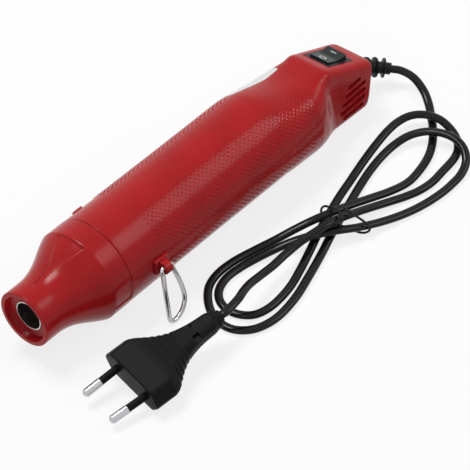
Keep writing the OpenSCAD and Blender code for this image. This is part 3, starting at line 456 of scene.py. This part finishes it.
# Stations: [x, half width, top, foot, centre height, upper squareness, lower squareness, shear]
STATIONS = np.array([
    [44.7, 22.5, 22.5, -22.5, 0, 2, 2, 0],
    [75, 22.35, 22.35, -22.35, 0, 2, 2, 0],
    [110, 22.18, 22.18, -22.18, 0, 2, 2, 0],
    [140, 22.18, 22.15, -22.18, 0, 2, 2, 0],
    [148, 22.1, 21.8, -22.18, 0, 2, 2, 0],
    [154, 21.9, 20.5, -22.3, 0, 2.05, 2.1, 0],
    [160, 21.5, 18.7, -22.4, 0, 2.1, 2.2, 0],
    [166, 20.9, 17.1, -22.4, 0, 2.2, 2.35, 0],
    [172, 20.3, 16.1, -22.4, 0, 2.4, 2.5, 0],
    [176, 19.6, 15.8, -22.2, 0, 2.7, 2.6, 0],
    [178.4, 18.9, 15.8, -21.4, 0, 3, 2.8, 0],
    [180, 18.1, 15.9, -20.4, 0, 3.4, 3.1, 0],
    [182.5, 16.9, 16, -18.9, -0.5, 4.2, 3.8, 0],
    [185.9, 15.8, 16.2, -17.6, -1, 6, 5, 0],
    [191.5, 15.2, deck_height(191.5), -16.9, -2, 8, 7, 0.15],
    [199.5, 15.2, deck_height(199.5), -16.9, -3.5, 8, 7, 0.45],
    [207.5, 15.2, deck_height(207.5), -16.9, -5, 8, 7, 0.8],
    [214.43, 15.1, deck_height(214.43), -16.9, -6.5, 8, 7, 1],
    [215.53, 14.7, deck_height(215.53) - 0.3, -16.4, -6.5, 7, 6, 1],
    [216.03, 13.8, deck_height(216.03) - 1.1, -15.5, -6.5, 6, 5, 1]])


def body_skin(x, around, lift=0.0):
    """Points of the body's outside at stations x and angles around, raised by lift: two
    rounded-square halves meet at the centre height, the sides lean in towards the deck, and the
    rear stations shear square to it."""
    x, around = np.broadcast_arrays(np.asarray(x, float), around)
    w, top, foot, mid, up_n, down_n, shear = [eased(x, STATIONS[:, 0], STATIONS[:, i])
                                              for i in range(1, 8)]
    w, top, foot = w + lift, top + lift, foot - lift
    upper = np.sin(around) >= 0
    y, z = squarish(around, w, np.where(upper, top - mid, mid - foot),
                    np.where(upper, up_n, down_n))
    z = z + mid
    lean = np.clip((x - LEAN_FROM) / LEAN_RUN, 0, 1) * SIDE_LEAN * (z - foot) / (top - foot)
    x = x + shear * (z - deck_height(x)) * math.tan(SLOPE)
    return np.stack([x, y * (1 - lean), z], axis=-1)


def square_cut(obj, cutter):
    """The cutter's solid is taken out of the piece."""
    cut = obj.modifiers.new("cut", "BOOLEAN")
    cut.operation = "DIFFERENCE"
    cut.solver = "EXACT"
    cut.object = cutter
    depsgraph = bpy.context.evaluated_depsgraph_get()
    mesh = bpy.data.meshes.new_from_object(obj.evaluated_get(depsgraph))
    obj.modifiers.clear()
    obj.data = mesh
    bpy.data.objects.remove(cutter)


def prism(outline, low_end, high_end, place):
    """Vertices and faces of a prism: the outline at two ends, put in place by a function."""
    n = len(outline)
    both = np.vstack([np.column_stack([outline, np.full(n, end)]) for end in (low_end, high_end)])
    j = np.arange(n)
    sides = np.stack([j, (j + 1) % n, (j + 1) % n + n, j + n], axis=-1).tolist()
    return place(both), sides + [list(range(n))[::-1], list(range(n, 2 * n))]


def solid(name, parts):
    """One object from several prisms, its faces turned outwards."""
    vertices, faces, count = [], [], 0
    for points, sides in parts:
        vertices += points.tolist()
        faces += [[index + count for index in side] for side in sides]
        count += len(points)
    mesh = bpy.data.meshes.new(name)
    mesh.from_pydata(vertices, [], faces)
    shell = bmesh.new()
    shell.from_mesh(mesh)
    bmesh.ops.recalc_face_normals(shell, faces=shell.faces)
    shell.to_mesh(mesh)
    shell.free()
    obj = bpy.data.objects.new(name, mesh)
    bpy.context.collection.objects.link(obj)
    return obj


def capsule(x0, x1, half, points=9):
    """Outline of a slot with round ends between two centres."""
    bow = np.linspace(-math.pi / 2, math.pi / 2, points)
    ends = [np.column_stack([x1 + half * np.cos(bow), half * np.sin(bow)]),
            np.column_stack([x0 - half * np.cos(bow), -half * np.sin(bow)])]
    return np.vstack(ends)


SLOT_STARTS, SLOT_ENDS = [197.6, 194.8, 192.0, 190.0, 191.4], [205.0, 207.6, 206.6, 205.4, 203.6]
SLOT_TOP, SLOT_PITCH, SLOT_HALF, SLOT_REACH = 0.8, 3.3, 0.9, 25
OPENING_AT, OPENING_L, OPENING_W, OPENING_STEP, STEP_DEPTH = 14.6, 16.0, 14.0, 1.6, 0.8


def across_body(height):
    """Puts a prism's points, in mm, at a height above the axis, with its length across the body."""
    return lambda p: rolled(np.stack([p[:, 0], p[:, 2], p[:, 1] + height], axis=-1)) * MM


def in_opening(p):
    """Puts a prism's points, in mm, at the switch opening, with its length down from the deck."""
    return on_deck(OPENING_AT + p[:, 0], p[:, 1], p[:, 2])


def rectangle(length, width):
    """Outline of a rectangle about the origin."""
    return np.array([[-length, -width], [length, -width], [length, width], [-length, width]]) / 2


cuts = [prism(capsule(x0, x1, SLOT_HALF), -SLOT_REACH, SLOT_REACH,
              across_body(SLOT_TOP - SLOT_PITCH * i))
        for i, (x0, x1) in enumerate(zip(SLOT_STARTS, SLOT_ENDS))]
cuts.append(prism(rectangle(OPENING_L, OPENING_W), -3, 6, in_opening))
cuts.append(prism(rectangle(OPENING_L + OPENING_STEP, OPENING_W + OPENING_STEP), -3, STEP_DEPTH,
                  in_opening))
front_x = np.concatenate([FRONT + np.array([0, 0.06, 0.16, 0.35]), np.arange(46, 140, 2.0),
                          np.arange(140, 215.9, 0.6), [216.03]])
outer = body_skin(front_x[:, None], turn(192)[None])
lip = np.array([0.35, 0.14, 0.04, 0.0])[:, None]
outer[:4, :, 1:] *= (1 - lip[..., None] / FRONT_R)
cap = [0.985, 0.95, 0.85, 0.6, 0.3]
centre = outer[-1].mean(axis=0)
tail_cap = np.stack([centre + (outer[-1] - centre) * k for k in cap])
inner_x = np.concatenate([np.arange(214.0, 140, -3.0), [130, 90, FRONT]])
inner = body_skin(inner_x[:, None], turn(192)[None], -WALL)
shell_rings = rolled(np.concatenate([inner, outer, tail_cap])) * MM
red = moulded("red_gloss", GLOSS_RED, 0.19, grain=9.0, relief=0.02, tint=0.08, gloss=0.14,
              uneven=0.04)
shell = surface("body_shell", shell_rings, red, crease=35)
square_cut(shell, solid("cutters", cuts))
shell.data.set_sharp_from_angle(angle=math.radians(35))
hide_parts("body")
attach(shell, "housing")


def raised(name, parts, material, body="housing"):
    """One object from pairs of points and face lists, with its finish and body."""
    obj = solid(name, parts)
    obj.data.materials.append(material)
    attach(obj, body)
    return obj


def soften_edges(obj, width, segments=2):
    """The object's edges are rounded to a width, in mm."""
    bevel = obj.modifiers.new("edges", "BEVEL")
    bevel.width = width * MM
    bevel.segments = segments


# The grip is a field of low four-sided points on both flanks, each row set off by half a step.
# Its angles are degrees down from the top, and its rear edge is [angle, x].
GRIP_STEP, GRIP_BASE, GRIP_TIP, GRIP_HIGH, GRIP_SUNK = 2.7, 1.05, 0.42, 0.22, -0.15
GRIP_R, GRIP_FROM, GRIP_TOP, GRIP_FOOT, FAR_GRIP_END = 22.2, 65.0, 27, 116, 145.5
GRIP_ROWS, GRIP_PLACES, GRIP_MARGIN = 54, 90, 1.2
BOX_FACES = np.array([[0, 1, 5, 4], [1, 2, 6, 5], [2, 3, 7, 6], [3, 0, 4, 7], [4, 5, 6, 7],
                      [3, 2, 1, 0]])
rear_edge = np.array([[20, 161], [23, 168], [29, 173], [36, 175.5], [45, 175], [59, 171.6],
                      [75, 168.3], [118, 167.7]])
row, place = np.meshgrid(np.arange(GRIP_ROWS), np.arange(GRIP_PLACES), indexing="ij")
grip_angle = GRIP_TOP + np.degrees((row + 0.6) * GRIP_STEP / 2 / GRIP_R)
grip_x = GRIP_FROM + (place + 0.5 * (row % 2)) * GRIP_STEP
rear_x = np.interp(grip_angle, rear_edge[:, 0], rear_edge[:, 1]) - GRIP_MARGIN
kept = (grip_angle < GRIP_FOOT) & (grip_x < rear_x)
grip_angle, grip_x = grip_angle[kept], grip_x[kept]
corner_x, corner_arc = np.array([1, 0, -1, 0]), np.array([0, 1, 0, -1])
grip_points = []
for flank in (1, -1):
    # The far flank is smooth under the label
    clear = (grip_x < FAR_GRIP_END) | (flank > 0)
    at_x, at_angle = grip_x[clear][:, None], grip_angle[clear][:, None]
    levels = []
    for reach_out, high in ((GRIP_BASE, GRIP_SUNK), (GRIP_TIP, GRIP_HIGH)):
        angle = np.radians(90 + flank * (at_angle + np.degrees(corner_arc * reach_out / GRIP_R)))
        levels.append(body_skin(at_x + corner_x * reach_out, angle, high))
    grip_points.append(np.stack(levels, axis=1))
grip_points = np.concatenate(grip_points)
first = 8 * np.arange(len(grip_points))[:, None, None]
grip_faces = (first + BOX_FACES).reshape(-1, 4).tolist()
grip = raised("grip", [(rolled(grip_points).reshape(-1, 3) * MM, grip_faces)], red)
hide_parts("body")

# A small raised catch stands on the far side, behind the seam with the nozzle cap
CATCH_X, CATCH_ANGLE = np.array([51.5, 57, 57, 51.5]), np.array([47, 47, 53, 53])
CATCH_SUNK, CATCH_HIGH, CATCH_INSET = -0.4, 0.85, 0.5
catch_points = np.concatenate([
    body_skin(CATCH_X + inset * np.array([1, -1, -1, 1]), np.radians(90 - CATCH_ANGLE), high)
    for inset, high in ((0, CATCH_SUNK), (CATCH_INSET, CATCH_HIGH))])
catch = raised("front_catch", [(rolled(catch_points) * MM, BOX_FACES.tolist())], red)
soften_edges(catch, 0.2)
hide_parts("body")

# A blank white label lies on the far shoulder, with one wavy edge towards the top
LABEL_FROM, LABEL_TO, LABEL_FOOT, LABEL_CORNER, LABEL_BOW = 147.3, 177.5, 95, 1.2, 4
LABEL_HIGH, LABEL_SUNK = 0.07, -0.1
label_x = np.linspace(LABEL_FROM, LABEL_TO, 110)
label_edge = np.interp(label_x, [147, 149, 152, 158, 163, 167.4, 172.7, 177.8],
                       [30, 28.3, 26.1, 26.3, 28.2, 28.5, 31.6, 35.6])
label_ends = np.clip(np.minimum(label_x - LABEL_FROM, LABEL_TO - label_x) / LABEL_CORNER, 0, 1)
label_edge = label_edge + LABEL_BOW * (1 - np.sqrt(1 - (1 - label_ends) ** 2))
down = np.linspace(0, 1, 60)[None]
label_angle = np.radians(90 - (label_edge[:, None] * (1 - down) + LABEL_FOOT * down))
label_rings = np.concatenate([body_skin(label_x[:, None], label_angle, LABEL_HIGH),
                              body_skin(label_x[:, None], label_angle[:, ::-1], LABEL_SUNK)],
                             axis=1)
paper = moulded("label_paper", (0.72, 0.72, 0.72), 0.42, grain=0.5, relief=0.004, tint=0.03,
                gloss=0.3)
label = surface("blank_label", rolled(label_rings) * MM, paper, crease=50)
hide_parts("body")

# ---- Nozzle cap -------------------------------------------------------------------------------
# A separate red moulding with a plain rim, a flare and a collar, plugged into the barrel. A
# pointed panel is sunk in the top of the flare, and a shallow one in each side of the collar.
RIM_R, RIM_LEN, MOUTH_R, DISH, FLARE_END, CAP_END, COLLAR_R = 13.8, 9.0, 11.5, 4.0, 34.0, 44.4, 22.7
PANEL_DEPTH, PANEL_FROM = 0.8, 7.2
SIDE_PANEL_AT, SIDE_PANEL_HALF, SIDE_PANEL_DEPTH = 99.0, 13.0, 0.5
INNER_POINTS = 10


def bezier(a, b, c, d, count):
    """Cubic Bezier curve through a and d, pulled towards b and c."""
    t = np.linspace(0, 1, count)[:, None]
    a, b, c, d = map(np.array, (a, b, c, d))
    return (1 - t) ** 3 * a + 3 * (1 - t) ** 2 * t * b + 3 * (1 - t) * t ** 2 * c + t ** 3 * d


flare = bezier([RIM_LEN, RIM_R], [RIM_LEN + 11, RIM_R + 0.2], [FLARE_END - 8, COLLAR_R - 3.2],
               [FLARE_END, COLLAR_R], 72)
collar_x = np.arange(FLARE_END + 0.35, CAP_END - 0.3, 0.35)
collar = np.column_stack([collar_x, np.full(len(collar_x), COLLAR_R)])
profile = np.vstack([
    [[6.2, 7.28], [DISH, 7.28], [DISH - 0.3, 9.2], [DISH - 0.7, 10.6], [2.0, 11.15], [0.5, MOUTH_R],
     [0.18, MOUTH_R + 0.08], [0.0, MOUTH_R + 0.3], [0.0, RIM_R - 0.5], [0.08, RIM_R - 0.22],
     [0.25, RIM_R - 0.06], [0.5, RIM_R], [3, RIM_R], [6, RIM_R]],
    flare, collar,
    [[CAP_END - 0.3, COLLAR_R], [CAP_END - 0.08, COLLAR_R - 0.1], [CAP_END, COLLAR_R - 0.3],
     [CAP_END, 19.92], [50.4, 19.92], [50.4, 17.92], [40.4, 17.92], [33, 20.2], [24, 13.4],
     [14, 11.6]]])
around = turn(480)
from_top = (around - math.pi / 2 + math.pi) % (2 * math.pi) - math.pi
px, pr = profile[:, :1], profile[:, 1:]
# The last points of the profile are the end in the barrel and the bore, which have no panels
facing_out = np.arange(len(profile))[:, None] < len(profile) - INNER_POINTS
outside = (pr > 12.5) & (px > 5) & (px < CAP_END) & facing_out
panel_half = eased(px[:, 0], [7, 9, 20.5, 30.5, 33.5], [0.0, 0.5, 2.7, 7.1, 8.4])[:, None]
arc = np.abs(from_top)[None] * pr


def ramp_in(distance, width):
    """0 outside, 1 inside, with an S curve over the width."""
    t = np.clip(distance / width, 0, 1)
    return t * t * (3 - 2 * t)


arrow = (ramp_in(panel_half - arc, 0.45) * ramp_in(FLARE_END - 0.4 - px, 0.5)
         * ramp_in(px - PANEL_FROM, 0.5))
side_arc = np.abs(np.abs(np.degrees(from_top)) - SIDE_PANEL_AT)
side_panel = ramp_in(SIDE_PANEL_HALF - side_arc, 0.9)[None] * ramp_in(px - FLARE_END, 0.4)
depth = np.where(outside, PANEL_DEPTH * arrow + SIDE_PANEL_DEPTH * side_panel, 0.0)
cap_r = pr - depth
cap_rings = rolled(np.stack([np.broadcast_to(px, cap_r.shape), cap_r * np.cos(around)[None],
                             cap_r * np.sin(around)[None]], axis=-1)) * MM
nozzle = surface("nozzle_cap_shell", cap_rings, red, closed=True, crease=35)
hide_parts("nozzle_cap")

# ---- Stand ------------------------------------------------------------------------------------
# A loop of bright spring-steel wire that hinges in a small eye moulded on the barrel's left side.
WIRE_R = 1.1
PIVOT_X, PIVOT_R, PIVOT_ANGLE, LEAN, EYE_T = 62.5, 25.6, math.radians(94), math.radians(22.3), 3.6
pivot = rolled(np.array([PIVOT_X, -PIVOT_R * math.sin(PIVOT_ANGLE),
                         PIVOT_R * math.cos(PIVOT_ANGLE)]))
reach = EYE_T / 2 + WIRE_R + 0.2
LOOP = np.array([[-reach, 0], [-reach, 3], [-5, 11], [-6.6, 19], [-7.3, 22.6], [-6.9, 24.2],
                 [-5.2, 25], [-2.8, 24.8], [0, 23.6], [2.6, 21.2], [4.1, 18], [4.5, 14], [4.2, 9],
                 [3.4, 4], [reach, 0]])
loop_path = smooth_route(np.column_stack([LOOP[:, 0], np.zeros(len(LOOP)), LOOP[:, 1]]), 8)
loop_path = np.vstack([[-EYE_T / 2 + 0.3, 0, 0], [-reach + 0.4, 0, 0], loop_path[1:-1],
                       [reach - 0.4, 0, 0], [EYE_T / 2 - 0.3, 0, 0]])
hang = np.array([0.0, -math.sin(LEAN), -math.cos(LEAN)])
placed = (pivot + np.outer(loop_path[:, 0], [1, 0, 0]) + np.outer(loop_path[:, 2], hang)) * MM
across = np.cross([1.0, 0.0, 0.0], hang)
around = turn(16)
wire_rings = carried(placed, WIRE_R * MM * np.cos(around)[None], WIRE_R * MM * np.sin(around)[None],
                     up=across)
bright = moulded("bright_wire", (0.50, 0.49, 0.50), 0.2, grain=1.2, relief=0.006, metal=1.0,
                 tint=0.06)
stand = surface("stand_loop", wire_rings, bright, body="stand", crease=60)
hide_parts("stand_wire")


def beside_barrel(x, round_by, out):
    """A point by the stand, in mm: x along the barrel, round_by across it, out from its axis."""
    x, round_by, out = np.broadcast_arrays(x, round_by, out)
    c, s = math.cos(PIVOT_ANGLE), math.sin(PIVOT_ANGLE)
    return rolled(np.stack([x, c * round_by - s * out, s * round_by + c * out], axis=-1)) * MM


def along_barrel(p):
    """Puts a prism's points by the stand, with its length along the barrel."""
    return beside_barrel(p[:, 2], p[:, 0], p[:, 1])


EYE_R, EYE_SUNK, EYE_FOOT_HALF = 3, 21, 4
bow = np.linspace(0, math.pi, 13)
eye_bow = np.column_stack([EYE_R * np.cos(bow), PIVOT_R + EYE_R * np.sin(bow)])
eye_outline = np.vstack([[[EYE_R, EYE_SUNK]], eye_bow, [[-EYE_R, EYE_SUNK]]])
eye_foot = np.array([[-3.8, EYE_SUNK], [3.8, EYE_SUNK], [3.8, 23.3], [3.5, 23.6], [-3.5, 23.6],
                     [-3.8, 23.3]])
eye_parts = [prism(eye_outline, PIVOT_X - EYE_T / 2, PIVOT_X + EYE_T / 2, along_barrel),
             prism(eye_foot, PIVOT_X - EYE_FOOT_HALF, PIVOT_X + EYE_FOOT_HALF, along_barrel)]
eye = raised("stand_eye", eye_parts, red)
soften_edges(eye, 0.25)
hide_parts("body")

# ---- Switch -----------------------------------------------------------------------------------
# A black snap-in rocker switch on the deck. The rocker is two slopes that meet in a shallow
# valley, with an O and an I printed in white on its halves.
switch_black = moulded("switch_black", (0.010, 0.010, 0.011), 0.34, grain=0.8, relief=0.02,
                       gloss=0.15)
rocker_gloss = moulded("rocker_gloss", (0.010, 0.014, 0.013), 0.24, grain=1.5, relief=0.01,
                       gloss=0.25)
dress("switch_case", switch_black)
PIVOT_DEPTH, TILT, ROCKER_W = 2.2, math.radians(9), 11.0
VALLEY_AT, VALLEY_HIGH, CREST_AT, CREST_HIGH = 0.6, 3.2, 6.1, 4.3
MARK_HIGH = 0.05
RING_AT, RING_INNER, RING_OUTER, RING_STRETCH = -3.6, 1.05, 1.5, 1.25


def on_rocker(along, across, high):
    """A point of the rocker's own frame, in mm, tilted about its pivot below the deck."""
    c, s = math.cos(TILT), math.sin(TILT)
    return on_deck(OPENING_AT + c * along - s * high, across, PIVOT_DEPTH - (s * along + c * high))


rocker_outline = np.array([[-6.4, 0.6], [-CREST_AT, CREST_HIGH], [-VALLEY_AT, VALLEY_HIGH],
                           [VALLEY_AT, VALLEY_HIGH], [CREST_AT, CREST_HIGH], [6.4, 0.6],
                           [3, -1.4], [-3, -1.4]])
paddle = raised("rocker_paddle", [prism(rocker_outline, -ROCKER_W / 2, ROCKER_W / 2,
                                        lambda p: on_rocker(p[:, 0], p[:, 2], p[:, 1]))],
                rocker_gloss, "switch_rocker")
soften_edges(paddle, 0.35, 3)
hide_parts("rocker")
print_white = moulded("switch_print", (0.60, 0.62, 0.60), 0.4, grain=0.5, relief=0.004, tint=0.03)


def rocker_top(along):
    """Height of the rocker's two slopes above its pivot."""
    return np.interp(np.abs(along), [VALLEY_AT, CREST_AT], [VALLEY_HIGH, CREST_HIGH])


def on_rocker_top(p):
    """Puts a prism's points on the rocker's slopes, with its length up from them."""
    return on_rocker(p[:, 0], p[:, 1], rocker_top(p[:, 0]) + p[:, 2])


# The marks are a ring and a bar, each a slightly raised print
ring_round = turn(40)
inner_edge, outer_edge = [np.column_stack([r * np.cos(ring_round) + RING_AT,
                                           RING_STRETCH * r * np.sin(ring_round)])
                          for r in (RING_INNER, RING_OUTER)]
ring_rows = np.stack([inner_edge, outer_edge, outer_edge, inner_edge])
ring_high = MARK_HIGH * np.array([1, 1, -1, -1])[:, None] + rocker_top(ring_rows[..., 0])
ring_points = on_rocker(ring_rows[..., 0], ring_rows[..., 1], ring_high)
mark_ring = surface("mark_ring", ring_points, print_white, body="switch_rocker",
                    closed=True)
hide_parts("rocker")
bar_outline = np.array([[3.4, -1.6], [3.85, -1.6], [3.85, 1.6], [3.4, 1.6]])
mark_bar = raised("mark_bar", [prism(bar_outline, -MARK_HIGH, MARK_HIGH, on_rocker_top)],
                  print_white, "switch_rocker")
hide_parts("rocker")
brass = moulded("brass_tag", (0.70, 0.52, 0.22), 0.3, metal=1.0)
dress("switch_terminals", brass)

# ---- Heater -----------------------------------------------------------------------------------
# A spun steel tube guides the air over a winding on crossed mica boards. The tube's end shows
# in the nozzle.
steel = moulded("spun_steel", (0.56, 0.54, 0.52), 0.24, grain=1.0, relief=0.01, metal=1.0, tint=0.1)
mica = moulded("mica_sheet", (0.50, 0.38, 0.20), 0.5, grain=2.0, relief=0.05, tint=0.2)
dress("outlet_tube", steel)
dress("mica_sleeve", mica)
dress("heater_former", mica)
dress("heater_coil",
      moulded("heating_wire", (0.30, 0.26, 0.23), 0.4, metal=1.0, grain=0.6, relief=0.02))
dress("thermal_cutout", moulded("cutout_ceramic", (0.80, 0.79, 0.74), 0.5, grain=0.8, relief=0.03))
dress("heater_holder", moulded("holder_resin", (0.05, 0.045, 0.04), 0.55, grain=0.8, relief=0.04))

# ---- Motor and fan ----------------------------------------------------------------------------
# A flat-sided can motor in a spider of white nylon drives a small pitched fan behind the heater.
nylon = moulded("white_nylon", (0.78, 0.77, 0.71), 0.42, grain=1.2, relief=0.02)
dress("fan", moulded("fan_nylon", (0.06, 0.06, 0.065), 0.4, grain=1.0, relief=0.02))
dress("motor_shaft", bright)
dress("motor_mount", nylon)
dress("motor_can",
      moulded("zinc_plate", (0.52, 0.52, 0.54), 0.32, grain=1.5, relief=0.01, metal=1.0, tint=0.08))
dress("motor_end_cap", nylon)
dress("rectifier_board", moulded("laminate", (0.42, 0.28, 0.10), 0.5, grain=1.0, relief=0.03))
dress("rectifier_diodes",
      moulded("diode_epoxy", (0.015, 0.015, 0.015), 0.4, grain=0.6, relief=0.02))

# ---- Wiring in the tail -----------------------------------------------------------------------
# The cord's jacket ends under a clamp with two screws, and its cores run on to the switch.
dress("inner_leads", moulded("core_red", (0.45, 0.03, 0.03), 0.3, grain=2.0, relief=0.02))
dress("cord_clamp", nylon)
dress("clamp_screws", plated)
dress("cord_entry", pvc)
